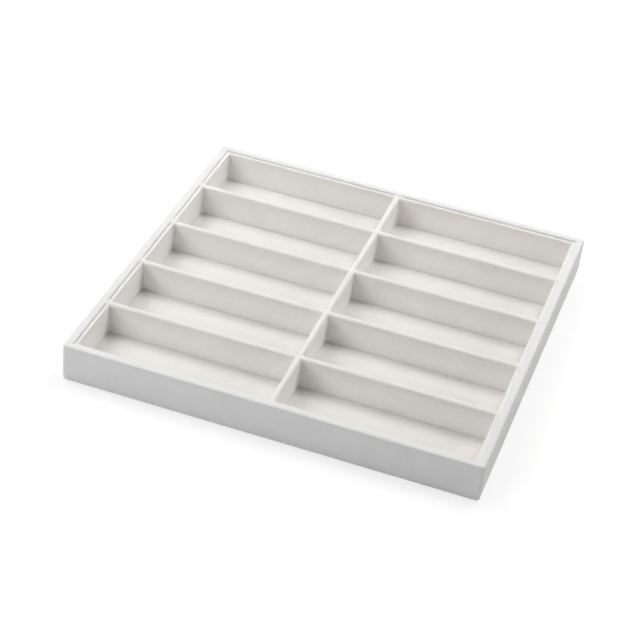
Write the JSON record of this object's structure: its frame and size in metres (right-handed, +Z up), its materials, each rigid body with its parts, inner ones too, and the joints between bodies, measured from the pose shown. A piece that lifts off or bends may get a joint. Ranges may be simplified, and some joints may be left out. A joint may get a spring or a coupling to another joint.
{
  "type": "sunglasses storage tray",
  "caption": "Shallow open velour-covered storage tray, divided by slotted partitions into long compartments that each hold folded sunglasses.",
  "frame": {"origin": "centre of the underside, on the surface that the tray stands on", "axes": "+Z up out of the compartments; +X to the right along the front and the compartments' length; +Y from the front to the back, across the rows"},
  "size_m": [0.36, 0.36, 0.0356],
  "materials": {
    "velour": "short matte pile, off-white",
    "fibreboard": "raw medium-density fibreboard, hidden under the cloth",
    "card": "raw grey card, hidden under the cloth",
    "underside_sheet": "matte off-white paper"
  },
  "bodies": {
    "root": {"back_lining_strip_left": "velour", "back_lining_strip_right": "velour", "back_wall_board": "fibreboard", "base_board": "fibreboard", "centre_divider_board": "card", "centre_divider_cover": "velour", "cross_divider_board_1": "card", "cross_divider_board_2": "card", "cross_divider_board_3": "card", "cross_divider_board_4": "card", "cross_divider_cover_1": "velour", "cross_divider_cover_2": "velour", "cross_divider_cover_3": "velour", "cross_divider_cover_4": "velour", "floor_panel_left_1": "velour", "floor_panel_left_2": "velour", "floor_panel_left_3": "velour", "floor_panel_left_4": "velour", "floor_panel_left_5": "velour", "floor_panel_right_1": "velour", "floor_panel_right_2": "velour", "floor_panel_right_3": "velour", "floor_panel_right_4": "velour", "floor_panel_right_5": "velour", "front_lining_strip_left": "velour", "front_lining_strip_right": "velour", "front_wall_board": "fibreboard", "left_lining_strip_1": "velour", "left_lining_strip_2": "velour", "left_lining_strip_3": "velour", "left_lining_strip_4": "velour", "left_lining_strip_5": "velour", "left_wall_board": "fibreboard", "outer_velour_cover": "velour", "right_lining_strip_1": "velour", "right_lining_strip_2": "velour", "right_lining_strip_3": "velour", "right_lining_strip_4": "velour", "right_lining_strip_5": "velour", "right_wall_board": "fibreboard", "underside_sheet": "underside_sheet"}
  },
  "joints": []
}
